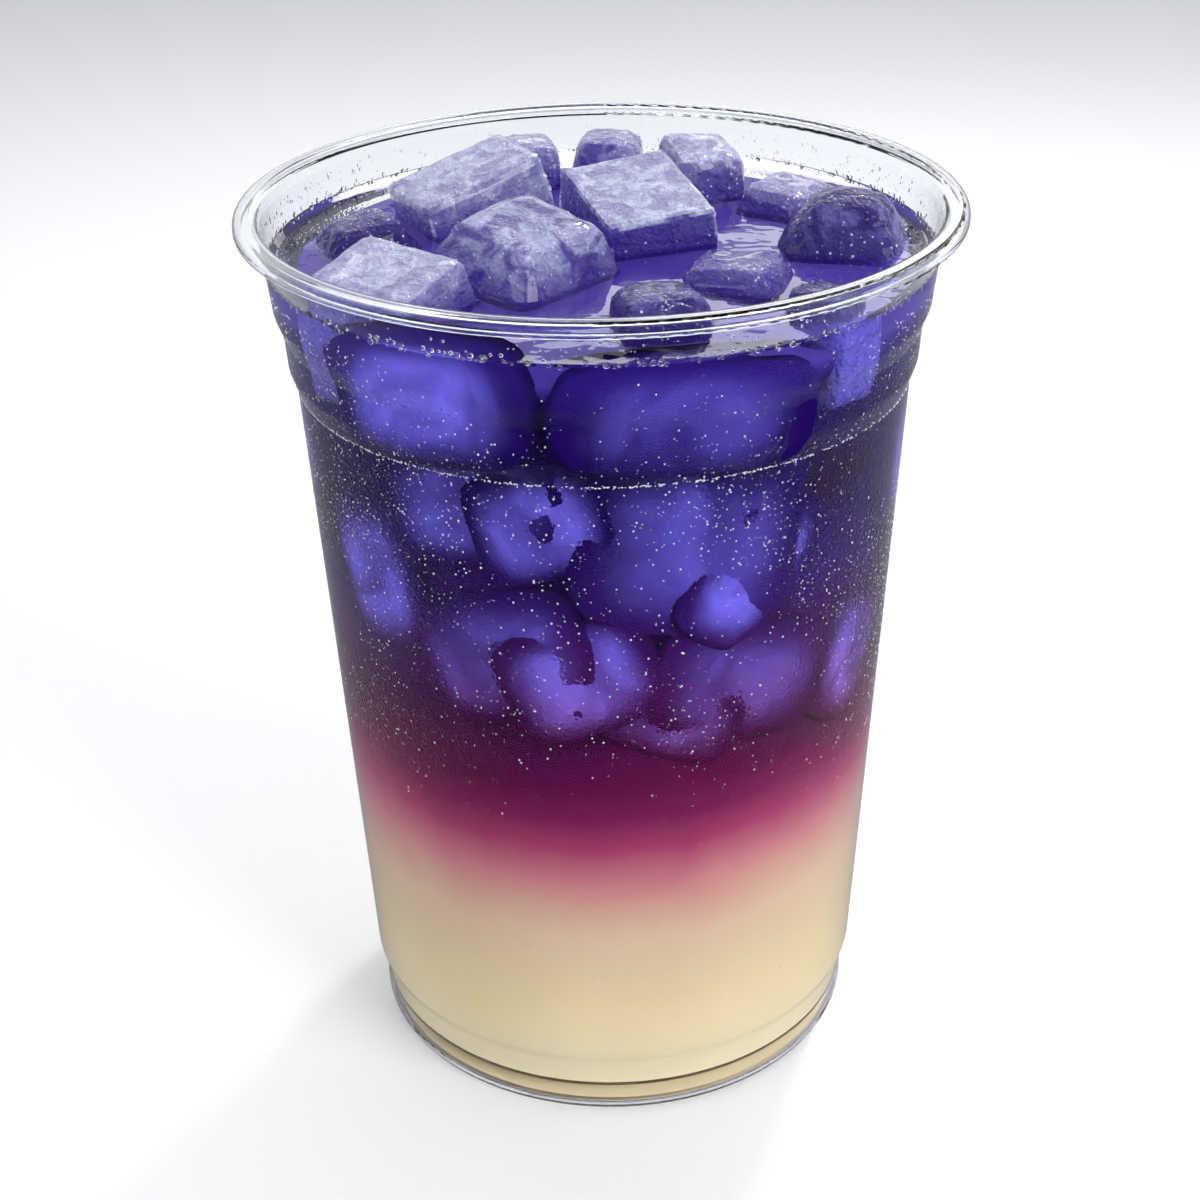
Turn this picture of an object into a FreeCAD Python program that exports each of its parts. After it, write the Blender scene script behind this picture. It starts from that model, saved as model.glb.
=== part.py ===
import FreeCAD, Part
import math
import os

# Butterfly pea lemonade: a clear cup holding a pale lemonade layer, a deep violet
# pea flower tea layer above it, and ice cubes that stand out of the tea.
# Millimetres, +Z up, origin on the table under the middle of the cup.

# ---- clear cup, measured on the inside face of its wall -------------------------
wall = 0.5                # thickness of the moulded sheet
cup_height = 127.5        # table to the top of the rolled rim

dome_rise = 4.2           # inside face of the pushed-up floor, at the middle
dome_flat_radius = 11.0   # level middle of the dome
dome_edge_rise = 2.9      # where the dome starts to run down to the resting ring
dome_slope_width = 3.5    # width of that slope
dome_round = 60.0         # rounding of the pushed-up floor
ring_width = 4.5          # from the foot inward to the slope

foot_bead_height = 3.0    # widest place of the foot, just above the table
foot_radius = 35.5
foot_corner_round = 2.1
foot_waist_height = 5.4
foot_waist_depth = 0.15   # how far the waist draws in from the bead
foot_top_height = 10.2    # ends under the small ledge of the foot
foot_flare = 0.65         # how far the foot widens from its bead to its top
foot_ledge_height = 11.4
foot_ledge_step = 0.45

wall_top_drop = 23.3      # below the rim: end of the long tapered wall
wall_top_radius = 41.8
ledge_drop = 20.3         # below the rim: stacking ledge
ledge_step = 1.0
band_top_drop = 15.5      # below the rim: end of the narrow band
band_flare = 0.3
neck_bottom_drop = 12.5   # below the rim: neck
neck_step = 1.1
neck_top_drop = 6.0
neck_flare = 0.75
lip_drop = 2.1            # below the rim: where the neck meets the roll
lip_flare = 0.5

rim_width = 3.55          # how far the roll stands out from the lip
rim_thickness = 2.0       # height of the roll
rim_return = 1.1          # how far the roll is turned back in
lip_round = 1.1
rim_round = 1.1
rim_tip_round = 0.55
soft_round = 1.6          # rounding of the wall's bends
ring_round = 0.9          # rounding of the resting ring and of the foot's bends

# ---- drink ----------------------------------------------------------------------
lemonade_top = 46.0       # height where the pale lemonade meets the tea
free_height = 7.2         # from the tea's surface to the top of the rim

# ---- ice ------------------------------------------------------------------------
ice_taper = 0.90          # size of the lower face of a cube to its shoulder
ice_shoulder = 0.08       # height of the shoulder above a cube's middle, in cube heights
ice_wall_gap = 0.65       # room left between the heap of ice and the neck's inside
heap_radius = 44.3        # radius of the circle that the heap below is laid in

# Each cube of the heap: its name, its width and depth at the shoulder and its
# height, the place of its middle seen from the middle of the tea's surface, its
# turn about the upright, how far it leans and toward which heading, the width of
# its upper face to its shoulder, and the rounding of its melted edges.  Lengths
# in millimetres, angles in degrees.
ice_cubes = (
    ("ice_back_left", (20.0, 14.5, 17.0), (-17.6, 16.4, -1.2), 29.0, 15.0, -150.0, 0.97, 2.0),
    ("ice_front_left", (18.6, 15.0, 18.0), (-26.6, -19.5, -3.6), -34.0, 12.0, -110.0, 0.87, 2.0),
    ("ice_front_middle", (20.5, 20.0, 18.0), (-10.4, -8.8, -1.4), 48.0, 10.0, -60.0, 0.7, 2.6),
    ("ice_middle", (16.5, 20.5, 17.0), (5.2, 8.6, -2.0), 20.0, 10.0, -95.0, 0.97, 1.6),
    ("ice_low_left", (15.5, 12.5, 16.0), (-32.6, 5.2, -4.6), 30.0, 8.0, -150.0, 0.62, 2.4),
    ("ice_back_middle", (11.5, 13.0, 16.0), (0.8, 33.6, -1.6), -6.0, 6.0, 30.0, 0.8, 2.6),
    ("ice_back_small", (9.0, 11.5, 16.0), (-10.7, 34.2, -2.2), 12.0, 5.0, 60.0, 0.86, 2.2),
    ("ice_back_right", (11.8, 14.5, 17.0), (14.0, 28.2, -2.1), 14.0, 8.0, -40.0, 0.84, 2.2),
    ("ice_right", (12.0, 13.0, 16.0), (26.2, 19.0, -4.9), -32.0, 6.0, 0.0, 0.84, 2.4),
    ("ice_dark_right", (18.4, 15.0, 18.0), (33.0, 1.2, -1.9), -12.0, 5.0, -30.0, 0.5, 3.0),
    ("ice_front_right", (16.8, 14.0, 16.0), (17.8, -13.0, -4.8), -24.0, 4.0, 170.0, 0.66, 3.0),
    ("ice_low_front", (13.0, 12.5, 16.0), (7.2, -27.8, -4.1), 12.0, 6.0, 100.0, 0.8, 2.6),
    ("ice_low_right", (10.5, 10.5, 15.0), (27.6, -24.9, -4.7), -34.0, 5.0, 48.0, 0.8, 2.6),
)

# ---- what follows from the sizes above ------------------------------------------
ring_inner_radius = foot_radius - ring_width
dome_edge_radius = ring_inner_radius - dome_slope_width
ledge_radius = wall_top_radius + ledge_step
band_top_radius = ledge_radius + band_flare
neck_bottom_radius = band_top_radius + neck_step
neck_top_radius = neck_bottom_radius + neck_flare
lip_radius = neck_top_radius + lip_flare
lip_height = cup_height - lip_drop
tea_top = cup_height - free_height
heap_scale = (neck_top_radius - ice_wall_gap) / heap_radius


def flat(radius, height):
    """A place on the half section of the cup."""
    return FreeCAD.Vector(radius, 0.0, height)


def rounded_line(corners, rounds):
    """An open line through the corners, with each bend rounded."""
    edges = []
    start = corners[0]
    for here, following, bend in zip(corners[1:-1], corners[2:], rounds):
        back = (start - here).normalize()
        ahead = (following - here).normalize()
        half_angle = back.getAngle(ahead) / 2.0
        reach = bend / math.tan(half_angle)
        bisector = (back + ahead).normalize()
        entry = here + back * reach
        leave = here + ahead * reach
        nearest = here + bisector * (bend / math.sin(half_angle) - bend)
        edges.append(Part.LineSegment(start, entry).toShape())
        edges.append(Part.Arc(entry, nearest, leave).toShape())
        start = leave
    edges.append(Part.LineSegment(start, corners[-1]).toShape())
    return edges


def spun(edges):
    """Turns a closed half section about the upright through the origin."""
    face = Part.Face(Part.Wire(edges))
    return face.revolve(FreeCAD.Vector(0, 0, 0), FreeCAD.Vector(0, 0, 1), 360.0)


def inside_line(last_corners, last_rounds):
    """The inside face of the cup from the middle of its floor up its wall."""
    corners = [
        flat(0.0, dome_rise),
        flat(dome_flat_radius, dome_rise),
        flat(dome_edge_radius, dome_edge_rise),
        flat(ring_inner_radius, wall),
        flat(foot_radius, wall),
        flat(foot_radius, foot_bead_height),
        flat(foot_radius - foot_waist_depth, foot_waist_height),
        flat(foot_radius + foot_flare, foot_top_height),
        flat(foot_radius + foot_flare + foot_ledge_step, foot_ledge_height),
        flat(wall_top_radius, cup_height - wall_top_drop),
        flat(ledge_radius, cup_height - ledge_drop),
        flat(band_top_radius, cup_height - band_top_drop),
        flat(neck_bottom_radius, cup_height - neck_bottom_drop),
        flat(neck_top_radius, cup_height - neck_top_drop),
    ]
    rounds = [
        dome_round,
        ring_round,
        ring_round,
        foot_corner_round,
        ring_round,
        ring_round,
        ring_round,
        ring_round,
        soft_round,
        soft_round,
        soft_round,
        soft_round,
        soft_round,
    ]
    return rounded_line(corners + last_corners, rounds + last_rounds)


def build_cup():
    """The moulded sheet: one line of even thickness spun round, rim rolled outward."""
    rim_radius = lip_radius + rim_width
    rim_bottom = cup_height - rim_thickness
    inside = Part.Wire(inside_line(
        [
            flat(lip_radius, lip_height),
            flat(lip_radius + lip_round / 2.0, cup_height),
            flat(rim_radius, cup_height),
            flat(rim_radius, rim_bottom),
            flat(rim_radius - rim_return, rim_bottom),
        ],
        [soft_round, lip_round, rim_round, rim_tip_round],
    ))
    sheet = inside.makeOffset2D(-wall, 0, True, True, False)
    return sheet.revolve(FreeCAD.Vector(0, 0, 0), FreeCAD.Vector(0, 0, 1), 360.0)


def build_cavity():
    """Everything the cup can hold up to the lip."""
    edges = inside_line([flat(lip_radius, lip_height)], [])
    edges.append(Part.LineSegment(flat(lip_radius, lip_height), flat(0.0, lip_height)).toShape())
    edges.append(Part.LineSegment(flat(0.0, lip_height), flat(0.0, dome_rise)).toShape())
    return spun(edges)


def slab(bottom, top):
    """A disc as wide as the rim between two heights."""
    return Part.makeCylinder(lip_radius + rim_width, top - bottom, flat(0.0, bottom))


def oblong(width, depth, height):
    """A closed rectangle lying level, centred on the upright."""
    x = width / 2.0
    y = depth / 2.0
    ends = [
        FreeCAD.Vector(-x, -y, height),
        FreeCAD.Vector(x, -y, height),
        FreeCAD.Vector(x, y, height),
        FreeCAD.Vector(-x, y, height),
    ]
    return Part.makePolygon(ends + ends[:1])


def build_ice(size, middle, turn, lean, heading, top_share, melt_round):
    """A tray cube, widest at its shoulder, with melted edges, turned and leaned."""
    width, depth, height = [length * heap_scale for length in size]
    lower = oblong(width * ice_taper, depth * ice_taper, -height / 2.0)
    middle_ring = oblong(width, depth, height * ice_shoulder)
    upper = oblong(width * top_share, depth * top_share, height / 2.0)
    cube = Part.makeLoft([lower, middle_ring, upper], True, True)
    cube = cube.makeFillet(melt_round * heap_scale, cube.Edges)
    hinge = FreeCAD.Vector(-math.sin(math.radians(heading)), math.cos(math.radians(heading)), 0)
    leaned = FreeCAD.Rotation(hinge, lean)
    turned = FreeCAD.Rotation(FreeCAD.Vector(0, 0, 1), turn)
    place = FreeCAD.Vector(*middle) * heap_scale + FreeCAD.Vector(0, 0, tea_top)
    cube.Placement = FreeCAD.Placement(place, leaned.multiply(turned))
    return cube


def main():
    os.makedirs("parts", exist_ok=True)
    cup = build_cup()
    cavity = build_cavity()
    cubes = {}
    for name, size, middle, turn, lean, heading, top_share, melt_round in ice_cubes:
        cubes[name] = build_ice(size, middle, turn, lean, heading, top_share, melt_round)

    lemonade = cavity.common(slab(0.0, lemonade_top))
    tea = cavity.common(slab(lemonade_top, tea_top))
    tea = tea.cut(Part.makeCompound(list(cubes.values())))

    cup.exportStep("parts/cup.step")
    lemonade.exportStep("parts/lemonade.step")
    tea.exportStep("parts/pea_tea.step")
    for name, cube in cubes.items():
        cube.exportStep("parts/" + name + ".step")


main()
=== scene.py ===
import math
import random

import bpy
import numpy as np
from mathutils import Matrix, Quaternion, Vector
from mathutils import noise as fractal


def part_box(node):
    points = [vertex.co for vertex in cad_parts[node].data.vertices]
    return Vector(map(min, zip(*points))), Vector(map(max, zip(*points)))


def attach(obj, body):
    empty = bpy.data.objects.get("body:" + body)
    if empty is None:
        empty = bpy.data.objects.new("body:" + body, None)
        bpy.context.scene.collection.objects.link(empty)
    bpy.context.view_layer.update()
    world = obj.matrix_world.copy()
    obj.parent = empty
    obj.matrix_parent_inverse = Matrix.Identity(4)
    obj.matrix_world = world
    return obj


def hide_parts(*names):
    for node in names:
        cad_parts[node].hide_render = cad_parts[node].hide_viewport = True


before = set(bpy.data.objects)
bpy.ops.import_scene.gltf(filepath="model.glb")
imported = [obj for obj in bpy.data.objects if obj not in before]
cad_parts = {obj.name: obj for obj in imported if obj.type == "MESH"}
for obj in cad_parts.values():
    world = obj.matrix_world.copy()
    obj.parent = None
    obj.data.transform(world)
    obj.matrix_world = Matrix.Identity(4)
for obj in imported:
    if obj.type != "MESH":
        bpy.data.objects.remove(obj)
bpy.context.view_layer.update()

MM = 0.001
ROOT = "root"

# ---- heights and radii read from the solids --------------------------------------
TEA_TOP = max(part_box("pea_tea")[1].z, 0.0)
LAYER_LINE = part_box("lemonade")[1].z
RIM_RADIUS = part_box("cup")[1].x

# ---- drink -----------------------------------------------------------------------
WALL_BITE = 0.25 * MM        # how far the drink reaches into the cup's wall
SEGMENTS = 160               # sides of a turned piece
CLEAR_SKIN_TEA = 6.5 * MM    # clear tea in front of its deep, opaque heart
CLEAR_SKIN_LEMONADE = 2.0 * MM
CLEAR_SKIN_FOOT = 0.5 * MM
CLEAR_SKIN_BRIM = 3.0 * MM   # under the surface the heart comes nearer to the wall
NECK_FADE = (99 * MM, 117 * MM)   # heights between which it closes up to the wall
FOOT_BAND = 14 * MM          # height over which the skin grows from the foot up
CLEAR_SKIN_TOP = 3.0 * MM    # clear tea above the heart
TAPER_FOOT = (36.6 * MM, 11.4 * MM)   # inside radius of the tapered wall and its height
TAPER_HEAD = (41.8 * MM, 104.2 * MM)
LAYER_BLEND = 16 * MM        # height over which the skin grows above the lemonade
SUNK_FADE = (7.0 * MM, 3.6 * MM)   # depths behind the wall where sunk ice is lost and seen
ICE_TAPER = 0.90             # lower face of a cube to its shoulder
ICE_SHOULDER = 0.08          # height of the shoulder above the middle, in cube heights
LIT_SIDE = 0.45              # painted light: extra paleness on the right-hand faces, on top of their frost
SOFT_EDGE = (0.4, 0.92)      # a sunk piece is clear out to the first share of its half
                             # width and lost in the tea at the second
ICE_SHIFT = 50 * MM          # moves each cube to its own stretch of the wear pattern


CLEAR_FINISHES = ("clear_liquid", "water_drops", "mist", "clear_ice", "deep_ice",
                  "frosted_ice")


# ---- small helpers ---------------------------------------------------------------
def linear(*shade):
    """A display colour, 0 to 255, as the linear colour that the renderer takes."""
    out = []
    for value in shade:
        level = value / 255.0
        out.append(level / 12.92 if level <= 0.04045 else ((level + 0.055) / 1.055) ** 2.4)
    return (*out, 1.0)


def lay_down_tools():
    """Leaves edit mode with nothing selected."""
    if bpy.context.object and bpy.context.object.mode != "OBJECT":
        bpy.ops.object.mode_set(mode="OBJECT")
    bpy.ops.object.select_all(action="DESELECT")


def take_up(piece):
    """Makes one piece the active and only selected one."""
    lay_down_tools()
    piece.select_set(True)
    bpy.context.view_layer.objects.active = piece


def settle(piece):
    """Puts the piece's place, turn and size into its mesh."""
    take_up(piece)
    bpy.ops.object.transform_apply(location=True, rotation=True, scale=True)


def finish_piece(piece, material, node=None):
    """Gives a piece its finish and ties it to the body; lamps shine through clear ones."""
    piece.data.materials.clear()
    piece.data.materials.append(material)
    piece.visible_shadow = material.name not in CLEAR_FINISHES
    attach(piece, ROOT)
    if node:
        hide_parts(node)


def wall_radius(height):
    """Inside radius of the cup at a height, from the rings of the drink's solids."""
    return float(np.interp(height, wall_heights, wall_radii))


def read_wall():
    """The inside face of the cup as rings, read from the drink's own solids."""
    rings = {}
    for node in ("lemonade", "pea_tea"):
        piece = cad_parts[node]
        for vertex in piece.data.vertices:
            place = piece.matrix_world @ vertex.co
            rings.setdefault(round(place.z, 5), []).append(math.hypot(place.x, place.y))
    heights, radii = [], []
    for height in sorted(rings):
        widest = max(rings[height])
        on_wall = sum(1 for radius in rings[height] if widest - radius < 0.05 * MM)
        if widest > 0.5 * RIM_RADIUS and on_wall > 40:
            heights.append(height)
            radii.append(widest)
    return heights, radii


# ---- colours ---------------------------------------------------------------------
SURFACE_TINT = linear(58, 42, 124)       # the heart's lid, under the surface
SUNK_TINT = linear(118, 106, 228)
SUNK_TINT_LOW = linear(152, 104, 206)
SHADED_POOL_TINT = linear(34, 8, 34)            # painted shade: dark pools between the sunk ice
SHADED_POOL_FOOT = (62 * MM, 76 * MM)           # heights over which the pools come in
SHADED_POOL_HEAD = (108 * MM, 96 * MM)          # and go out again
GLOW_TINT = linear(78, 48, 176)          # light that gets into the tea near its surface
GLOW_RISE = (104 * MM, 113 * MM)
SUNK_TINT_FALL = (82 * MM, 62 * MM)      # heights over which sunk ice turns from blue to pink
SWIRL_LIFT = 7.0 * MM                    # how far the layers' colours wander up and down
MIST_RISE = (46 * MM, 66 * MM)           # heights over which the wall mists over
LIT_EDGE_TINT = linear(204, 220, 244)
TRAPPED_AIR_TINT = linear(226, 229, 250)


# ---- materials -------------------------------------------------------------------
def new_material(name):
    material = bpy.data.materials.new(name)
    material.use_nodes = True
    nodes = material.node_tree.nodes
    return material, nodes, material.node_tree.links, nodes["Principled BSDF"]


def math_node(nodes, links, action, first, second=None, third=None):
    """One sum; each side is a number or another node's output."""
    node = nodes.new("ShaderNodeMath")
    node.operation = action
    for side, value in enumerate((first, second, third)):
        if value is None:
            continue
        if isinstance(value, (int, float)):
            node.inputs[side].default_value = value
        else:
            links.new(value, node.inputs[side])
    return node.outputs[0]


def spread(nodes, links, value, low, high, smooth=True):
    """Takes low to 0 and high to 1."""
    node = nodes.new("ShaderNodeMapRange")
    node.interpolation_type = "SMOOTHSTEP" if smooth else "LINEAR"
    node.inputs["From Min"].default_value = low
    node.inputs["From Max"].default_value = high
    links.new(value, node.inputs["Value"])
    return node.outputs["Result"]


def mixed(nodes, links, share, first, second):
    """A colour between two; each is a colour or another node's output."""
    node = nodes.new("ShaderNodeMix")
    node.data_type = "RGBA"
    if isinstance(share, (int, float)):
        node.inputs[0].default_value = share
    else:
        links.new(share, node.inputs[0])
    for side, value in ((6, first), (7, second)):
        if isinstance(value, tuple):
            node.inputs[side].default_value = value
        else:
            links.new(value, node.inputs[side])
    return node.outputs[2]


def noise(nodes, links, place, scale, detail=3.0, distortion=0.0):
    node = nodes.new("ShaderNodeTexNoise")
    node.inputs["Scale"].default_value = scale
    node.inputs["Detail"].default_value = detail
    node.inputs["Distortion"].default_value = distortion
    links.new(place, node.inputs["Vector"])
    return node.outputs["Fac"]


# Colours of the drink from the foot to the surface: height in mm, display colour.
DRINK_COLOURS = (
    (2.0, (236, 220, 180)),
    (10.0, (234, 218, 176)),
    (16.0, (228, 208, 160)),
    (24.0, (218, 196, 154)),
    (32.0, (212, 182, 150)),
    (38.0, (202, 154, 136)),
    (43.0, (188, 112, 118)),
    (48.0, (152, 56, 92)),
    (53.0, (110, 22, 70)),
    (58.0, (80, 8, 54)),
    (65.0, (60, 6, 56)),
    (74.0, (58, 14, 76)),
    (84.0, (44, 13, 86)),
    (99.0, (24, 5, 70)),
    (107.0, (28, 8, 80)),
    (113.0, (28, 7, 82)),
    (119.0, (38, 15, 104)),
)


def build_drink_colour():
    """Node group: the drink's colour by height, blended unevenly where the layers meet."""
    tree = bpy.data.node_groups.new("drink colour by height", "ShaderNodeTree")
    nodes, links = tree.nodes, tree.links
    tree.interface.new_socket(name="Colour", in_out="OUTPUT", socket_type="NodeSocketColor")
    tree.interface.new_socket(name="Depth", in_out="OUTPUT", socket_type="NodeSocketFloat")
    place = nodes.new("ShaderNodeTexCoord").outputs["Object"]
    split = nodes.new("ShaderNodeSeparateXYZ")
    links.new(place, split.inputs[0])
    swirl = noise(nodes, links, place, 38.0, 3.0, 0.6)
    lift = math_node(nodes, links, "MULTIPLY_ADD", swirl, SWIRL_LIFT, -0.5 * SWIRL_LIFT)
    height = math_node(nodes, links, "ADD", split.outputs[2], lift)
    share = spread(nodes, links, height, 0.0, TEA_TOP, smooth=False)
    ramp = nodes.new("ShaderNodeValToRGB")
    elements = ramp.color_ramp.elements
    top = TEA_TOP / MM
    for at, (level, shade) in enumerate(DRINK_COLOURS):
        element = elements[at] if at < 2 else elements.new(level / top)
        element.position = level / top
        element.color = linear(*shade)
    links.new(share, ramp.inputs[0])
    # how deep a place lies behind the tapered wall
    across = math_node(nodes, links, "POWER", split.outputs[0], 2.0)
    along = math_node(nodes, links, "POWER", split.outputs[1], 2.0)
    reach = math_node(nodes, links, "SQRT", math_node(nodes, links, "ADD", across, along))
    slope = (TAPER_HEAD[0] - TAPER_FOOT[0]) / (TAPER_HEAD[1] - TAPER_FOOT[1])
    wall = math_node(nodes, links, "MULTIPLY_ADD", split.outputs[2], slope,
                     TAPER_FOOT[0] - slope * TAPER_FOOT[1])
    depth = math_node(nodes, links, "SUBTRACT", wall, reach)
    out = nodes.new("NodeGroupOutput")
    links.new(ramp.outputs[0], out.inputs["Colour"])
    links.new(depth, out.inputs["Depth"])
    return tree


def place_group(nodes, tree):
    node = nodes.new("ShaderNodeGroup")
    node.node_tree = tree
    return node


def make_heart_material(colour_group):
    """The deep, cloudy middle of the drink, with painted shade in dark pools and painted light
    near the top.
    """
    material, nodes, links, shader = new_material("drink_heart")
    tint = place_group(nodes, colour_group)
    place = nodes.new("ShaderNodeTexCoord").outputs["Object"]
    split = nodes.new("ShaderNodeSeparateXYZ")
    links.new(place, split.inputs[0])
    height = split.outputs[2]
    near_top = spread(nodes, links, height, TEA_TOP - CLEAR_SKIN_TOP - 1.6 * MM,
                      TEA_TOP - CLEAR_SKIN_TOP - 0.2 * MM)
    # painted shade: dark pools between the sunk ice, in the middle heights only
    shaded_pools = spread(nodes, links, noise(nodes, links, place, 34.0, 2.0, 0.4), 0.5, 0.64)
    deep = math_node(nodes, links, "MULTIPLY", spread(nodes, links, height, *SHADED_POOL_FOOT),
                     spread(nodes, links, height, *SHADED_POOL_HEAD))
    shaded_pools = math_node(nodes, links, "MULTIPLY", shaded_pools, deep)
    shaded_pools = math_node(nodes, links, "MULTIPLY", shaded_pools, 0.75)
    colour = mixed(nodes, links, shaded_pools, tint.outputs["Colour"], SHADED_POOL_TINT)
    glow = spread(nodes, links, noise(nodes, links, place, 42.0, 2.0, 0.3), 0.42, 0.62)
    glow = math_node(nodes, links, "MULTIPLY", glow, spread(nodes, links, height, *GLOW_RISE))
    glow = math_node(nodes, links, "MULTIPLY", glow, 0.5)
    colour = mixed(nodes, links, glow, colour, GLOW_TINT)
    colour = mixed(nodes, links, near_top, colour, SURFACE_TINT)
    links.new(colour, shader.inputs["Base Color"])
    shader.inputs["Roughness"].default_value = 1.0
    shader.inputs["Specular IOR Level"].default_value = 0.0
    return material


def make_liquid_material():
    """The clear outer drink and its surface."""
    material, nodes, links, shader = new_material("clear_liquid")
    place = nodes.new("ShaderNodeTexCoord").outputs["Object"]
    shader.inputs["Base Color"].default_value = (0.97, 0.96, 1.0, 1.0)
    shader.inputs["Roughness"].default_value = 0.0
    shader.inputs["IOR"].default_value = 1.33
    shader.inputs["Specular Tint"].default_value = (0.0, 0.0, 0.0, 1.0)
    shader.inputs["Transmission Weight"].default_value = 1.0
    bump = nodes.new("ShaderNodeBump")
    bump.inputs["Strength"].default_value = 0.25
    bump.inputs["Distance"].default_value = 0.6 * MM
    links.new(noise(nodes, links, place, 160.0, 2.0), bump.inputs["Height"])
    links.new(bump.outputs[0], shader.inputs["Normal"])
    return material


def make_cup_material():
    """Clear moulded sheet, misted with fine condensation."""
    material, nodes, links, shader = new_material("clear_cup")
    place = nodes.new("ShaderNodeTexCoord").outputs["Object"]
    split = nodes.new("ShaderNodeSeparateXYZ")
    links.new(place, split.inputs[0])
    shader.inputs["Base Color"].default_value = (0.9, 0.925, 0.965, 1.0)
    shader.inputs["IOR"].default_value = 1.5
    shader.inputs["Specular Tint"].default_value = (0.05, 0.05, 0.05, 1.0)
    shader.inputs["Transmission Weight"].default_value = 1.0
    below = math_node(nodes, links, "MULTIPLY",
                      spread(nodes, links, split.outputs[2], TEA_TOP, TEA_TOP - 8 * MM),
                      spread(nodes, links, split.outputs[2], *MIST_RISE))
    patches = spread(nodes, links, noise(nodes, links, place, 60.0, 5.0), 0.3, 0.62)
    mist = math_node(nodes, links, "MULTIPLY", below, patches)
    rough = math_node(nodes, links, "MULTIPLY_ADD", mist, 0.1, 0.03)
    links.new(rough, shader.inputs["Roughness"])
    drops = nodes.new("ShaderNodeTexVoronoi")
    drops.inputs["Scale"].default_value = 1100.0
    links.new(place, drops.inputs["Vector"])
    round_drops = spread(nodes, links, drops.outputs["Distance"], 0.5, 0.1)
    height = math_node(nodes, links, "MULTIPLY", round_drops, mist)
    bump = nodes.new("ShaderNodeBump")
    bump.inputs["Strength"].default_value = 0.8
    bump.inputs["Distance"].default_value = 0.1 * MM
    links.new(height, bump.inputs["Height"])
    links.new(bump.outputs[0], shader.inputs["Normal"])
    return material


def make_water_material(name, passing, pale):
    """Drops and bubbles; the finest are misty and let less through."""
    material, nodes, links, shader = new_material(name)
    place = nodes.new("ShaderNodeTexCoord").outputs["Object"]
    shade = noise(nodes, links, place, 300.0, 1.0)
    colour = mixed(nodes, links, shade, pale, (1.0, 1.0, 1.0, 1.0))
    links.new(colour, shader.inputs["Base Color"])
    shader.inputs["Roughness"].default_value = 0.03
    shader.inputs["IOR"].default_value = 1.33
    shader.inputs["Transmission Weight"].default_value = passing
    return material


def make_sunk_ice_material(colour_group):
    """Ice under the tea: pale violet near the wall, lost in the tea further in."""
    material, nodes, links, shader = new_material("sunk_ice")
    place = nodes.new("ShaderNodeTexCoord").outputs["Object"]
    tint = place_group(nodes, colour_group)
    # painted light: each sunk piece's brightness, read from its points
    glow = nodes.new("ShaderNodeAttribute")
    glow.attribute_name = "frost_and_light"
    cloud = spread(nodes, links, noise(nodes, links, place, 75.0, 4.0, 0.8), 0.32, 0.7)
    cloud = math_node(nodes, links, "MULTIPLY_ADD", cloud, 0.8, 0.25)
    cloud = math_node(nodes, links, "MULTIPLY", cloud, glow.outputs["Fac"])
    shown = spread(nodes, links, tint.outputs["Depth"], SUNK_FADE[0], SUNK_FADE[1])
    shown = math_node(nodes, links, "MULTIPLY", cloud, shown)
    split = nodes.new("ShaderNodeSeparateXYZ")
    links.new(place, split.inputs[0])
    low = spread(nodes, links, split.outputs[2], *SUNK_TINT_FALL)
    ice = mixed(nodes, links, low, SUNK_TINT, SUNK_TINT_LOW)
    colour = mixed(nodes, links, shown, tint.outputs["Colour"], ice)
    links.new(colour, shader.inputs["Base Color"])
    shader.inputs["Roughness"].default_value = 1.0
    shader.inputs["Specular IOR Level"].default_value = 0.0
    links.new(face_outward(nodes, links, place), shader.inputs["Normal"])
    return material


def face_outward(nodes, links, place):
    """Shades a surface as if it faced straight out from the cup's axis."""
    level = nodes.new("ShaderNodeVectorMath")
    level.operation = "MULTIPLY"
    level.inputs[1].default_value = (1.0, 1.0, 0.0)
    links.new(place, level.inputs[0])
    outward = nodes.new("ShaderNodeVectorMath")
    outward.operation = "NORMALIZE"
    links.new(level.outputs[0], outward.inputs[0])
    return outward.outputs[0]


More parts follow.
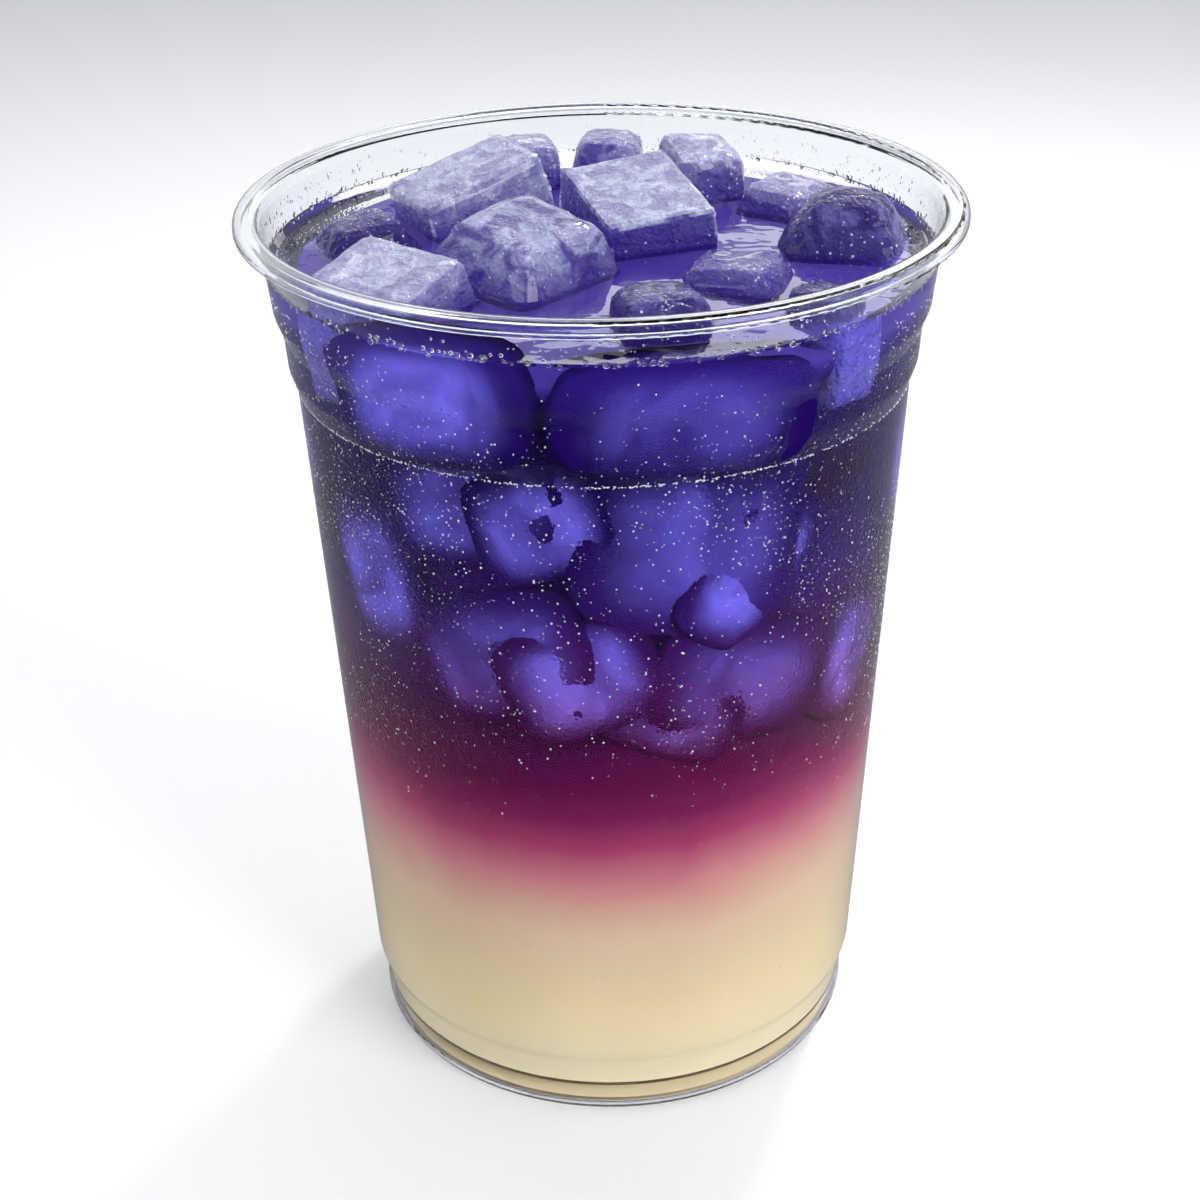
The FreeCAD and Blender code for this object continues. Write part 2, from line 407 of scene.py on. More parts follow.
def make_ice_material(name, colour_group, frosted, clear, passing, patchy, wet):
    """Ice above the tea: frost, with painted light on the right-hand faces and painted
    highlights along the edges, and trapped air over a violet depth.

    passing is the share of light that goes through, patchy how uneven the frost is, and
    wet the weight of the film of water."""
    material, nodes, links, shader = new_material(name)

    def product(*values):
        out = values[0]
        for value in values[1:]:
            out = math_node(nodes, links, "MULTIPLY", out, value)
        return out

    def eased(value, share):
        """Takes 0 to 1 - share and 1 to 1."""
        return math_node(nodes, links, "MULTIPLY_ADD", value, share, 1.0 - share)

    place = nodes.new("ShaderNodeTexCoord").outputs["Object"]
    split = nodes.new("ShaderNodeSeparateXYZ")
    links.new(place, split.inputs[0])
    level = nodes.new("ShaderNodeAttribute")
    level.attribute_name = "frost_and_light"
    edge = nodes.new("ShaderNodeAttribute")
    edge.attribute_name = "edge"
    crystals = spread(nodes, links, noise(nodes, links, place, 620.0, 3.0, 0.8), 0.36, 0.66)
    sweep = spread(nodes, links, noise(nodes, links, place, 170.0, 4.0, 1.6), 0.4, 0.6)
    beads = nodes.new("ShaderNodeTexVoronoi")
    beads.inputs["Scale"].default_value = 1300.0
    links.new(place, beads.inputs["Vector"])
    domes = spread(nodes, links, beads.outputs["Distance"], 0.5, 0.1)
    high = spread(nodes, links, split.outputs[2], TEA_TOP + 0.5 * MM, TEA_TOP + 5.0 * MM)
    frost_and_light = product(level.outputs["Fac"], eased(sweep, patchy), eased(crystals, 0.35),
                    eased(high, 0.8))
    frost_and_light = math_node(nodes, links, "MINIMUM", frost_and_light, 1.0)
    colour = mixed(nodes, links, frost_and_light, clear, frosted)
    lit_edge = product(spread(nodes, links, edge.outputs["Fac"], 0.75, 1.0), sweep)
    colour = mixed(nodes, links, product(lit_edge, 0.7), colour, LIT_EDGE_TINT)
    air = nodes.new("ShaderNodeTexVoronoi")
    air.inputs["Scale"].default_value = 900.0
    links.new(place, air.inputs["Vector"])
    specks = spread(nodes, links, air.outputs["Distance"], 0.2, 0.1)
    colour = mixed(nodes, links, product(specks, sweep), colour, TRAPPED_AIR_TINT)
    tint = place_group(nodes, colour_group)
    shown = spread(nodes, links, tint.outputs["Depth"], 7.0 * MM, 1.0 * MM)
    depths = mixed(nodes, links, product(shown, 0.6), tint.outputs["Colour"], SUNK_TINT)
    sunk = spread(nodes, links, split.outputs[2], TEA_TOP + 0.8 * MM, TEA_TOP - 1.5 * MM)
    colour = mixed(nodes, links, sunk, colour, depths)
    links.new(colour, shader.inputs["Base Color"])
    shader.inputs["IOR"].default_value = 1.31
    shader.inputs["Transmission Weight"].default_value = passing
    rough = product(frost_and_light, 0.08)
    rough = math_node(nodes, links, "ADD", rough, 0.02)
    links.new(rough, shader.inputs["Roughness"])
    shader.inputs["Specular Tint"].default_value = (0.1, 0.1, 0.12, 1.0)
    shader.inputs["Coat Weight"].default_value = wet
    shader.inputs["Coat Roughness"].default_value = 0.02
    relief = math_node(nodes, links, "ADD", product(domes, 0.5), product(crystals, 0.8))
    relief = math_node(nodes, links, "ADD", relief, product(sweep, 0.35))
    bump = nodes.new("ShaderNodeBump")
    bump.inputs["Strength"].default_value = 1.0
    bump.inputs["Distance"].default_value = 0.35 * MM
    links.new(relief, bump.inputs["Height"])
    links.new(bump.outputs[0], shader.inputs["Normal"])
    return material


# ---- shapes ----------------------------------------------------------------------
def turn_solid(name, line):
    """A closed solid of revolution, raised ring by ring from a disc.

    line holds (radius, height) from the middle of the floor to the middle of the top."""
    lay_down_tools()
    radius, height = line[0]
    bpy.ops.mesh.primitive_circle_add(vertices=SEGMENTS, radius=radius, fill_type="TRIFAN",
                                      location=(0.0, 0.0, height))
    piece = bpy.context.object
    piece.name = name
    settle(piece)
    bpy.ops.object.mode_set(mode="EDIT")
    bpy.ops.mesh.select_mode(type="EDGE")
    bpy.ops.mesh.select_all(action="DESELECT")
    bpy.ops.mesh.select_non_manifold()
    for next_radius, next_height in line[1:]:
        bpy.ops.mesh.extrude_edges_move(
            TRANSFORM_OT_translate={"value": (0.0, 0.0, next_height - height)})
        share = next_radius / radius
        bpy.ops.transform.resize(value=(share, share, 1.0),
                                 center_override=(0.0, 0.0, next_height))
        radius, height = next_radius, next_height
    bpy.ops.mesh.edge_face_add()
    bpy.ops.mesh.select_all(action="SELECT")
    bpy.ops.mesh.normals_make_consistent(inside=False)
    bpy.ops.object.mode_set(mode="OBJECT")
    bpy.ops.object.shade_smooth_by_angle(angle=math.radians(50))
    return piece


def inside_rings(top, inset, rise):
    """Rings up the inside of the cup, held off the wall by inset(height)."""
    floor_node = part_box("lemonade")[0].z
    line = [(11.0 * MM, 4.3 * MM + rise), (27.0 * MM, 3.0 * MM + rise),
            (31.2 * MM, floor_node + rise), (33.2 * MM - inset(0.0), floor_node + rise)]
    heights = [z for z in wall_heights if floor_node + rise + 0.1 * MM < z < top - 0.3 * MM]
    last = floor_node + rise
    for height in heights + [top]:
        if height - last > 0.35 * MM or height == top:
            line.append((wall_radius(height) - inset(height), height))
            last = height
    return line


def build_heart(material):
    """The opaque middle of the drink, well behind the wall in the tea."""
    def inset(height):
        tea = min(max((height - LAYER_LINE - 4 * MM) / LAYER_BLEND, 0.0), 1.0)
        pale = min(max(height / FOOT_BAND, 0.0), 1.0)
        neck = min(max((height - NECK_FADE[0]) / (NECK_FADE[1] - NECK_FADE[0]), 0.0), 1.0)
        skin = CLEAR_SKIN_FOOT + (CLEAR_SKIN_LEMONADE - CLEAR_SKIN_FOOT) * pale
        skin += (CLEAR_SKIN_TEA - CLEAR_SKIN_LEMONADE) * tea
        return skin + (CLEAR_SKIN_BRIM - skin) * neck
    top = TEA_TOP - CLEAR_SKIN_TOP
    line = inside_rings(top - 0.6 * MM, inset, 0.25 * MM)
    brim = wall_radius(top) - CLEAR_SKIN_BRIM
    line += [(brim - 0.3 * MM, top - 0.2 * MM), (brim - 1.2 * MM, top), (4 * MM, top)]
    piece = turn_solid("drink_heart", line)
    finish_piece(piece, material, "lemonade")
    return piece


def build_liquid(material):
    """The clear tea and lemonade out to the wall, with a raised edge at the surface."""
    line = inside_rings(TEA_TOP, lambda height: -WALL_BITE, -0.1 * MM)
    edge = wall_radius(TEA_TOP)
    line += [
        (edge + WALL_BITE, TEA_TOP + 0.9 * MM),
        (edge - 0.15 * MM, TEA_TOP + 0.75 * MM),
        (edge - 0.6 * MM, TEA_TOP + 0.3 * MM),
        (edge - 1.3 * MM, TEA_TOP + 0.08 * MM),
    ]
    radius = edge - 2.2 * MM
    while radius > 3 * MM:
        line.append((radius, TEA_TOP))
        radius -= 1.4 * MM
    piece = turn_solid("clear_liquid", line)
    finish_piece(piece, material, "pea_tea")
    return piece


def carve_ice(name, size, top_share, melt, seed):
    """One melting cube, widest at its shoulder, with rounded edges and an uneven skin."""
    lay_down_tools()
    width, depth, height = size
    body = height * (0.5 + ICE_SHOULDER)
    bpy.ops.mesh.primitive_cube_add(size=1.0, location=(0.0, 0.0, 0.5 * (body - height)))
    piece = bpy.context.object
    piece.name = name
    piece.scale = (width, depth, body)
    settle(piece)
    pick_faces(piece, lambda normal: normal.z < -0.5)
    bpy.ops.transform.resize(value=(ICE_TAPER, ICE_TAPER, 1.0))
    bpy.ops.object.mode_set(mode="OBJECT")
    pick_faces(piece, lambda normal: normal.z > 0.5)
    bpy.ops.mesh.extrude_region_move(
        TRANSFORM_OT_translate={"value": (0.0, 0.0, height - body)})
    bpy.ops.transform.resize(value=(top_share, top_share, 1.0))
    bpy.ops.mesh.select_all(action="SELECT")
    bpy.ops.mesh.bevel(offset=melt, segments=2, affect="EDGES")
    bpy.ops.mesh.select_all(action="SELECT")
    bpy.ops.mesh.subdivide(number_cuts=3)
    bpy.ops.object.mode_set(mode="OBJECT")
    refine = piece.modifiers.new("melt", "SUBSURF")
    refine.levels = refine.render_levels = 1
    bpy.ops.object.modifier_apply(modifier=refine.name)
    mark_edges(piece, size)
    wear_down(piece, seed, ((9.0 * MM, 1.0 * MM), (2.4 * MM, 0.35 * MM)))
    return piece


def mould_sunk_piece(name, size, seed, glow):
    """A cube worn round by the tea, carrying painted light of strength glow that fades into the
    tea toward its edges.
    """
    lay_down_tools()
    bpy.ops.mesh.primitive_cube_add(size=1.0, location=(0.0, 0.0, 0.0))
    piece = bpy.context.object
    piece.name = name
    piece.scale = size
    settle(piece)
    bpy.ops.object.mode_set(mode="EDIT")
    bpy.ops.mesh.select_all(action="SELECT")
    bpy.ops.mesh.subdivide(number_cuts=1)
    bpy.ops.object.mode_set(mode="OBJECT")
    refine = piece.modifiers.new("melt", "SUBSURF")
    refine.levels = refine.render_levels = 3
    bpy.ops.object.modifier_apply(modifier=refine.name)
    blur = []
    for vertex in piece.data.vertices:
        reach = sum(abs(2.0 * vertex.co[axis] / size[axis]) ** 3 for axis in (0, 2)) ** (1 / 3)
        blur.append(min(max((SOFT_EDGE[1] - reach) / (SOFT_EDGE[1] - SOFT_EDGE[0]), 0.0), 1.0))
    wear_down(piece, seed, ((7.0 * MM, 1.6 * MM),))
    # painted light: the piece's brightness, softened toward its edges
    paint(piece, "frost_and_light", [glow * share * share * (3.0 - 2.0 * share) for share in blur])
    return piece


def pick_faces(piece, wanted):
    """Enters edit mode with only the wanted faces selected."""
    take_up(piece)
    bpy.ops.object.mode_set(mode="EDIT")
    bpy.ops.mesh.select_mode(type="FACE")
    bpy.ops.mesh.select_all(action="DESELECT")
    bpy.ops.object.mode_set(mode="OBJECT")
    for face in piece.data.polygons:
        face.select = wanted(face.normal)
    bpy.ops.object.mode_set(mode="EDIT")


def wear_down(piece, seed, layers):
    """Uneven melting: each layer is the width of its dents and their depth."""
    for at, (coarse, depth) in enumerate(layers):
        worn = bpy.data.textures.new(piece.name + "_wear_" + str(at), "CLOUDS")
        worn.noise_scale = coarse
        worn.noise_depth = 1
        wear = piece.modifiers.new("wear_" + str(at), "DISPLACE")
        wear.texture = worn
        wear.texture_coords = "LOCAL"
        wear.strength = depth
        wear.mid_level = 0.62
    shift = ICE_SHIFT * seed
    piece.location = (shift, 0.0, 0.0)
    settle(piece)
    for at in range(len(layers)):
        bpy.ops.object.modifier_apply(modifier="wear_" + str(at))
    piece.location = (-shift, 0.0, 0.0)
    settle(piece)
    bpy.ops.object.shade_smooth()


def mark_edges(piece, size):
    """Notes on each point how near it lies to an edge of its cube."""
    marks = []
    for vertex in piece.data.vertices:
        reach = sorted(abs(vertex.co[axis]) / (0.5 * size[axis]) for axis in range(3))
        marks.append(min(max((reach[1] - 0.72) / 0.2, 0.0), 1.0))
    paint(piece, "edge", marks)


def paint(piece, name, values):
    layer = piece.data.attributes.new(name, "FLOAT", "POINT")
    layer.data.foreach_set("value", values)


def set_down(piece, middle, turn, lean, heading):
    """Turns a cube about the upright, leans it toward a heading and puts it in place."""
    heading = math.radians(heading)
    hinge = Vector((-math.sin(heading), math.cos(heading), 0.0))
    pose = Matrix.Rotation(math.radians(lean), 4, hinge)
    pose = pose @ Matrix.Rotation(math.radians(turn), 4, "Z")
    piece.matrix_world = Matrix.Translation(Vector(middle)) @ pose
    settle(piece)


def frost_over(piece, up, side):
    """Frost on the faces that look up and on those that look sideways, with painted light making
    the right-hand faces paler still.
    """
    values = []
    for vertex in piece.data.vertices:
        lift = min(max((vertex.normal.z - 0.35) / 0.4, 0.0), 1.0)
        # painted light: faces turned to the right are made paler, as if lit from that side
        lit = min(max((vertex.normal.x - 0.55) / 0.25, 0.0), 1.0) * LIT_SIDE
        values.append(side + (up - side) * lift + lit * (1.0 - lift))
    paint(piece, "frost_and_light", values)


# Cubes that stand out of the tea: width and depth at the shoulder and height, the
# place of the middle seen from the middle of the surface, turn, lean and its
# heading, upper face to shoulder, melted rounding, frost on top and on the sides,
# and which kind of ice it is.  Millimetres, degrees.
TOP_ICE = (
    ("ice_back_left", (20.0, 14.5, 17.0), (-17.6, 16.4, -1.2),
     29.0, 15.0, -150.0, 0.97, 1.6, 1.0, 0.85, "frosted"),
    ("ice_front_left", (18.6, 15.0, 18.0), (-26.6, -19.5, -3.6),
     -34.0, 12.0, -110.0, 0.87, 1.6, 1.05, 0.35, "frosted"),
    ("ice_front_middle", (20.5, 20.0, 18.0), (-10.4, -8.8, -1.4),
     48.0, 10.0, -60.0, 0.7, 2.2, 0.8, 0.8, "clear"),
    ("ice_middle", (16.5, 20.5, 17.0), (5.2, 8.6, -2.0),
     20.0, 10.0, -95.0, 0.97, 1.2, 1.0, 0.1, "frosted"),
    ("ice_low_left", (15.5, 12.5, 16.0), (-32.6, 5.2, -4.6),
     30.0, 8.0, -150.0, 0.62, 2.0, 0.25, 0.15, "deep"),
    ("ice_back_middle", (11.5, 13.0, 16.0), (0.8, 33.6, -1.6),
     -6.0, 6.0, 30.0, 0.8, 2.2, 0.5, 0.4, "clear"),
    ("ice_back_small", (9.0, 11.5, 16.0), (-10.7, 34.2, -2.2),
     12.0, 5.0, 60.0, 0.86, 1.8, 0.6, 0.4, "frosted"),
    ("ice_back_right", (11.8, 14.5, 17.0), (14.0, 28.2, -2.1),
     14.0, 8.0, -40.0, 0.84, 1.8, 0.9, 0.4, "frosted"),
    ("ice_right", (12.0, 13.0, 16.0), (26.2, 19.0, -4.9),
     -32.0, 6.0, 0.0, 0.84, 2.0, 0.8, 0.35, "frosted"),
    ("ice_dark_right", (18.4, 15.0, 18.0), (33.0, 1.2, -1.9),
     -12.0, 5.0, -30.0, 0.5, 2.6, 0.3, 0.5, "deep"),
    ("ice_front_right", (16.8, 14.0, 16.0), (17.8, -13.0, -4.8),
     -24.0, 4.0, 170.0, 0.66, 2.6, 0.5, 0.4, "clear"),
    ("ice_low_front", (13.0, 12.5, 16.0), (7.2, -27.8, -4.1),
     12.0, 6.0, 100.0, 0.8, 2.2, 0.35, 0.3, "deep"),
    ("ice_low_right", (10.5, 10.5, 15.0), (27.6, -24.9, -4.7),
     -34.0, 5.0, 48.0, 0.8, 2.2, 0.35, 0.3, "deep"),
)

# Pieces under the surface: width, thickness and height, how far the middle lies behind
# the wall, bearing round the cup from the front, height of the middle, roll in the
# wall's plane, and brightness, which is painted light.
SUNK_ICE = (
    ("sunk_front_left", (27.0, 7.0, 18.0), 7.6, -27.0, 98.5, -14.0, 0.55),
    ("sunk_front_left_bright", (19.0, 7.5, 17.0), 6.9, -13.0, 97.0, -20.0, 1.0),
    ("sunk_low_left", (25.0, 7.0, 19.0), 7.4, -22.0, 76.5, -20.0, 0.75),
    ("sunk_low_left_bright", (21.0, 8.0, 18.0), 6.9, -6.0, 74.0, -25.0, 1.25),
    ("sunk_front_right", (30.0, 7.0, 29.0), 7.6, 17.0, 94.0, 12.0, 0.5),
    ("sunk_front_right_bright", (14.0, 7.5, 24.0), 6.9, 29.0, 88.0, 38.0, 0.95),
    ("sunk_side_left", (17.0, 8.0, 23.0), 7.2, -53.0, 84.0, -16.0, 0.95),
    ("sunk_low_middle", (24.0, 7.0, 13.0), 7.4, 10.0, 68.5, 26.0, 0.5),
    ("sunk_low_right", (26.0, 7.0, 18.0), 7.4, 29.0, 71.0, 12.0, 0.5),
    ("sunk_side_right", (15.0, 8.5, 20.0), 7.2, 60.0, 68.0, 20.0, 0.8),
    ("sunk_neck_left", (30.0, 6.0, 18.0), 4.2, -32.0, 113.0, -6.0, 1.1),
    ("sunk_neck_right", (34.0, 6.0, 16.0), 4.2, 14.0, 112.0, 4.0, 0.3),
    ("sunk_back_left", (24.0, 8.0, 22.0), 7.2, -120.0, 88.0, 15.0, 0.8),
    ("sunk_back_right", (24.0, 8.0, 20.0), 7.2, 118.0, 84.0, -20.0, 0.9),
    ("sunk_back", (24.0, 8.0, 21.0), 7.2, 178.0, 98.0, 10.0, 0.8),
    ("sunk_back_low", (23.0, 8.0, 19.0), 7.2, 155.0, 74.0, -12.0, 0.7),
    ("sunk_back_side", (21.0, 8.0, 20.0), 7.2, -152.0, 76.0, 25.0, 0.6),
    ("sunk_right", (20.0, 8.0, 21.0), 7.2, 85.0, 93.0, 8.0, 0.7),
    ("sunk_left", (21.0, 8.0, 19.0), 7.2, -88.0, 97.0, -10.0, 0.7),
)


def build_top_ice(materials):
    cubes = []
    for seed, cube in enumerate(TOP_ICE):
        name, size, middle, turn, lean, heading, top_share, melt, up, side, kind = cube
        size = tuple(length * MM for length in size)
        piece = carve_ice(name + "_shown", size, top_share, melt * MM, seed)
        place = (middle[0] * MM, middle[1] * MM, TEA_TOP + middle[2] * MM)
        set_down(piece, place, turn, lean, heading)
        frost_over(piece, up, side)
        finish_piece(piece, materials[kind], name)
        cubes.append(piece)
    return cubes


def build_sunk_ice(material):
    for seed, (name, size, depth, bearing, height, roll, glow) in enumerate(SUNK_ICE):
        size = tuple(length * MM for length in size)
        piece = mould_sunk_piece(name, size, seed + len(TOP_ICE), glow)
        reach = wall_radius(height * MM) - depth * MM
        side = math.radians(bearing)
        place = Vector((reach * math.sin(side), -reach * math.cos(side), height * MM))
        pose = Matrix.Rotation(side, 4, "Z") @ Matrix.Rotation(math.radians(roll), 4, "Y")
        piece.matrix_world = Matrix.Translation(place) @ pose
        settle(piece)
        finish_piece(piece, material)


# ---- drops and bubbles -----------------------------------------------------------
def make_scatter_tree(bead):
    """Node tree that sets one bead on every point, aimed and sized by the point."""
    tree = bpy.data.node_groups.new("set out " + bead.name, "GeometryNodeTree")
    tree.interface.new_socket(name="Points", in_out="INPUT", socket_type="NodeSocketGeometry")
    tree.interface.new_socket(name="Beads", in_out="OUTPUT", socket_type="NodeSocketGeometry")
    nodes, links = tree.nodes, tree.links
    points = nodes.new("NodeGroupInput")
    out = nodes.new("NodeGroupOutput")
    source = nodes.new("GeometryNodeObjectInfo")
    source.inputs["Object"].default_value = bead
    aim = nodes.new("GeometryNodeInputNamedAttribute")
    aim.data_type = "FLOAT_VECTOR"
    aim.inputs["Name"].default_value = "aim"
    girth = nodes.new("GeometryNodeInputNamedAttribute")
    girth.data_type = "FLOAT"
    girth.inputs["Name"].default_value = "girth"
    turned = nodes.new("FunctionNodeAlignRotationToVector")
    turned.axis = "Z"
    placed = nodes.new("GeometryNodeInstanceOnPoints")
    real = nodes.new("GeometryNodeRealizeInstances")
    links.new(aim.outputs["Attribute"], turned.inputs["Vector"])
    links.new(points.outputs[0], placed.inputs["Points"])
    links.new(source.outputs["Geometry"], placed.inputs["Instance"])
    links.new(turned.outputs["Rotation"], placed.inputs["Rotation"])
    links.new(girth.outputs["Attribute"], placed.inputs["Scale"])
    links.new(placed.outputs["Instances"], real.inputs["Geometry"])
    links.new(real.outputs["Geometry"], out.inputs[0])
    return tree


def set_out_beads(name, spots, flatness, fine, material):
    """One piece of many drops; each spot is its place, outward direction and radius."""
    lay_down_tools()
    bpy.ops.mesh.primitive_ico_sphere_add(subdivisions=fine, radius=1.0)
    bead = bpy.context.object
    bead.name = name + "_bead"
    bead.scale = (1.0, 1.0, flatness)
    settle(bead)
    mesh = bpy.data.meshes.new(name)
    mesh.from_pydata([tuple(place) for place, aim, radius in spots], [], [])
    aims = mesh.attributes.new("aim", "FLOAT_VECTOR", "POINT")
    aims.data.foreach_set("vector", [part for place, aim, radius in spots for part in aim])
    girths = mesh.attributes.new("girth", "FLOAT", "POINT")
    girths.data.foreach_set("value", [radius for place, aim, radius in spots])
    piece = bpy.data.objects.new(name, mesh)
    bpy.context.scene.collection.objects.link(piece)
    take_up(piece)
    setting = piece.modifiers.new("beads", "NODES")
    setting.node_group = make_scatter_tree(bead)
    bpy.ops.object.modifier_apply(modifier=setting.name)
    bpy.ops.object.shade_smooth()
    bpy.data.objects.remove(bead)
    finish_piece(piece, material)
    return piece


def touch_wall(height, bearing, outside):
    """Where the cup's wall is met at a height and bearing, with the way it faces."""
    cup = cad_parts["cup"]
    back = cup.matrix_world.inverted()
    way = Vector((math.sin(bearing), -math.cos(bearing), 0.0))
    start = way * (2.0 * RIM_RADIUS if outside else 0.0) + Vector((0.0, 0.0, height))
    heading = -way if outside else way
    hit, place, normal, face = cup.ray_cast(back @ start, back.to_3x3() @ heading)
    if not hit:
        return None
    return cup.matrix_world @ place, (cup.matrix_world.to_3x3() @ normal).normalized()


def wall_spots(count, low, high, small, large, outside, thick_at=None):
    """Drops strewn on the wall between two heights, more where thick_at says so."""
    spots = []
    while len(spots) < count:
        height = low + (high - low) * random.random()
        bearing = random.uniform(-math.pi, math.pi)
        if thick_at and random.random() > thick_at(height, bearing):
            continue
        met = touch_wall(height, bearing, outside)
        if met is None:
            continue
        radius = small + (large - small) * random.random() ** 3
        spots.append((met[0], met[1], radius))
    return spots


MIST_DROPS = 8500
MIST_SIZE = (0.07 * MM, 0.18 * MM)
MIST_SPAN = (18 * MM, 119 * MM)
LEDGE_DROPS = 1100           # a fine line of drops along the stacking ledge
LEDGE_SIZE = (0.1 * MM, 0.16 * MM)
LEDGE_SPAN = (103.9 * MM, 104.15 * MM)
DROPS_PER_CUBE = 42
BUBBLES = 110


def mist_thickness(height, bearing):
    """Mist lies in patches, thickest at the sides and thin over the lemonade."""
    patch = fractal.noise(Vector((2.2 * math.sin(bearing), 2.2 * math.cos(bearing),
                                  height / (22 * MM))))
    low = min(max((height - 50 * MM) / (25 * MM), 0.01), 1.0)
    return low * (0.3 + 0.7 * abs(math.sin(bearing))) * (0.5 + patch)


def splash_thickness(height, bearing):
    """Drops inside the rim hang in a few broad patches."""
    return 0.3 + 0.7 * (math.sin(3.0 * bearing + 1.0) > 0.2)


def build_drops(water, mist_water, cubes):
    random.seed(11)
    mist = wall_spots(MIST_DROPS, *MIST_SPAN, *MIST_SIZE, True, mist_thickness)
    ledge = wall_spots(LEDGE_DROPS, *LEDGE_SPAN, *LEDGE_SIZE, True)
    set_out_beads("condensation", mist + ledge, 0.5, 1, mist_water)
    inner = wall_spots(420, TEA_TOP + 0.3 * MM, TEA_TOP + 4.6 * MM, 0.1 * MM, 0.32 * MM, False,
                       splash_thickness)
    line = wall_spots(420, TEA_TOP + 0.4 * MM, TEA_TOP + 1.3 * MM, 0.2 * MM, 0.5 * MM, False)
    set_out_beads("drops_inside_rim", inner + line, 0.55, 2, water)
    wet = []
    for cube in cubes:
        high = [vertex for vertex in cube.data.vertices
                if vertex.co.z > TEA_TOP + 0.8 * MM and vertex.normal.z > 0.0]
        for vertex in random.sample(high, DROPS_PER_CUBE):
            radius = random.uniform(0.12, 0.36) * MM
            wet.append((vertex.co.copy(), vertex.normal.copy(), radius))
    set_out_beads("drops_on_ice", wet, 0.6, 2, water)
    rising = []
    for count in range(BUBBLES):
        height = random.uniform(6.0, 60.0) * MM
        bearing = random.uniform(-math.pi, math.pi)
        reach = wall_radius(height) - random.uniform(0.5, 1.6) * MM
        place = Vector((reach * math.sin(bearing), -reach * math.cos(bearing), height))
        rising.append((place, Vector((0.0, 0.0, 1.0)), random.uniform(0.12, 0.32) * MM))
    set_out_beads("bubbles", rising, 1.0, 2, water)


# ---- room ------------------------------------------------------------------------
FLOOR_TINT = (0.97, 0.965, 0.97, 1.0)
FLOOR_MIRRORED = (0.28, 0.28, 0.31, 1.0)   # what shiny walls mirror of the floor


def build_floor():
    lay_down_tools()
    bpy.ops.mesh.primitive_plane_add(size=6.0, location=(0.0, 0.0, 0.0))
    floor = bpy.context.object
    floor.name = "floor"
    material, nodes, links, shader = new_material("pale_floor")
    path = nodes.new("ShaderNodeLightPath")
    not_through = math_node(nodes, links, "SUBTRACT", 1.0, path.outputs["Is Transmission Ray"])
    mirrored = math_node(nodes, links, "MULTIPLY", path.outputs["Is Glossy Ray"], not_through)
    colour = mixed(nodes, links, mirrored, FLOOR_TINT, FLOOR_MIRRORED)
    links.new(colour, shader.inputs["Base Color"])
    shader.inputs["Roughness"].default_value = 0.9
    shader.inputs["Specular IOR Level"].default_value = 0.0
    floor.data.materials.append(material)


def build_world():
    """Even light from all round; shiny things mirror a bright top and a greyer skirt."""
    world = bpy.data.worlds.new("room")
    bpy.context.scene.world = world
    world.use_nodes = True
    nodes, links = world.node_tree.nodes, world.node_tree.links
    light = nodes["Background"]
    light.inputs[0].default_value = (0.93, 0.96, 1.0, 1.0)
    light.inputs[1].default_value = 0.5
    seen = nodes.new("ShaderNodeBackground")
    seen.inputs[0].default_value = (1.0, 1.0, 1.0, 1.0)
    mirrored = nodes.new("ShaderNodeBackground")
    height = nodes.new("ShaderNodeSeparateXYZ")
    links.new(nodes.new("ShaderNodeTexCoord").outputs["Generated"], height.inputs[0])
    rise = spread(nodes, links, height.outputs[2], 0.05, 0.75)
    links.new(mixed(nodes, links, rise, (0.8, 0.83, 0.88, 1.0), (1.0, 1.0, 1.0, 1.0)),
              mirrored.inputs[0])
    path = nodes.new("ShaderNodeLightPath")
    clear = math_node(nodes, links, "MAXIMUM", path.outputs["Is Camera Ray"],
                      path.outputs["Is Transmission Ray"])
    glossy = nodes.new("ShaderNodeMixShader")
    links.new(path.outputs["Is Glossy Ray"], glossy.inputs[0])
    links.new(light.outputs[0], glossy.inputs[1])
    links.new(mirrored.outputs[0], glossy.inputs[2])
    blend = nodes.new("ShaderNodeMixShader")
    links.new(clear, blend.inputs[0])
    links.new(glossy.outputs[0], blend.inputs[1])
    links.new(seen.outputs[0], blend.inputs[2])
    links.new(blend.outputs[0], nodes["World Output"].inputs["Surface"])


# Lamps: place, width and height, and power.  All look at the middle of the cup.
LAMP_TARGET = (0.0, 0.0, 0.08)
LAMPS = (
    ("key", (0.45, -0.40, 0.42), (0.34, 0.34), 2.6),
    ("fill", (-0.50, -0.42, 0.30), (0.45, 0.5), 1.5),
    ("glint", (0.16, 0.34, 0.52), (0.06, 0.06), 0.8),
    ("sky", (0.0, 0.30, 0.62), (0.7, 0.35), 1.4),
    ("strip", (0.12, 0.46, 0.30), (0.4, 0.05), 0.16),
)


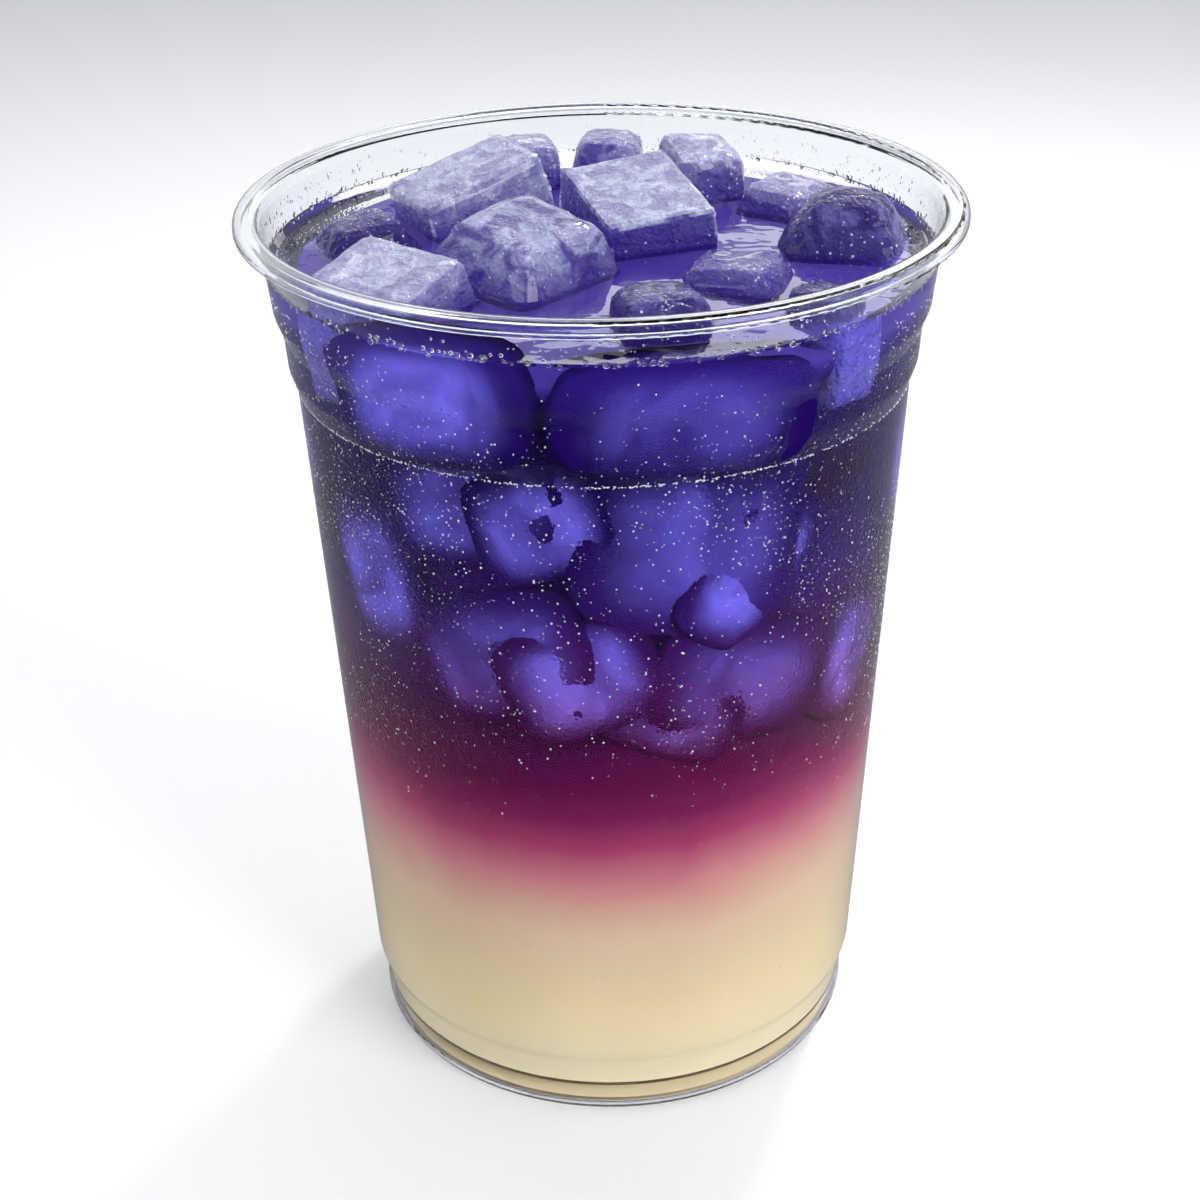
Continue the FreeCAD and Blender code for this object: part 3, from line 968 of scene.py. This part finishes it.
def build_lamps():
    for name, place, size, power in LAMPS:
        data = bpy.data.lights.new(name, "AREA")
        data.shape = "RECTANGLE"
        data.size, data.size_y = size
        data.energy = power
        lamp = bpy.data.objects.new(name, data)
        lamp.location = place
        lamp.rotation_mode = "QUATERNION"
        lamp.rotation_quaternion = (Vector(LAMP_TARGET) - Vector(place)).to_track_quat("-Z", "Y")
        bpy.context.scene.collection.objects.link(lamp)


CAMERA_PLACE = (0.0, -0.280, 0.2139)
CAMERA_LENS = 64.55
CAMERA_AIM = (0.485, -0.004, -0.019)      # radians down, to the side, and of roll


def build_camera():
    """Camera in front of the cup, looking down into it."""
    data = bpy.data.cameras.new("camera")
    data.sensor_width = 36.0
    data.lens = CAMERA_LENS
    data.clip_start, data.clip_end = 0.01, 20.0
    camera = bpy.data.objects.new("camera", data)
    camera.location = CAMERA_PLACE
    pitch, yaw, roll = CAMERA_AIM
    ahead = Vector((math.sin(yaw) * math.cos(pitch), math.cos(yaw) * math.cos(pitch),
                    -math.sin(pitch)))
    camera.rotation_mode = "QUATERNION"
    turn = ahead.to_track_quat("-Z", "Y") @ Quaternion((0.0, 0.0, 1.0), roll)
    camera.rotation_quaternion = turn
    bpy.context.scene.collection.objects.link(camera)
    bpy.context.scene.camera = camera


wall_heights, wall_radii = read_wall()

drink_colour = build_drink_colour()
heart_material = make_heart_material(drink_colour)
liquid_material = make_liquid_material()
cup_material = make_cup_material()
sunk_material = make_sunk_ice_material(drink_colour)
ice_materials = {
    "frosted": make_ice_material("frosted_ice", drink_colour, linear(208, 211, 240),
                                 linear(72, 54, 152), 0.25, 0.5, 0.6),
    "clear": make_ice_material("clear_ice", drink_colour, linear(206, 212, 246),
                               linear(66, 44, 150), 0.35, 0.9, 0.6),
    "deep": make_ice_material("deep_ice", drink_colour, linear(150, 148, 226),
                              linear(36, 18, 100), 0.2, 0.9, 0.25),
}

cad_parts["cup"].material_slots[0].material = cup_material
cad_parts["cup"].visible_shadow = False
build_heart(heart_material)
build_liquid(liquid_material)
build_sunk_ice(sunk_material)
ice_shown = build_top_ice(ice_materials)
build_drops(make_water_material("water_drops", 1.0, (0.93, 0.94, 0.98, 1.0)),
            make_water_material("mist", 0.65, (0.78, 0.75, 0.92, 1.0)), ice_shown)

build_floor()
build_world()
build_lamps()
build_camera()
bpy.context.scene.view_settings.view_transform = "Standard"
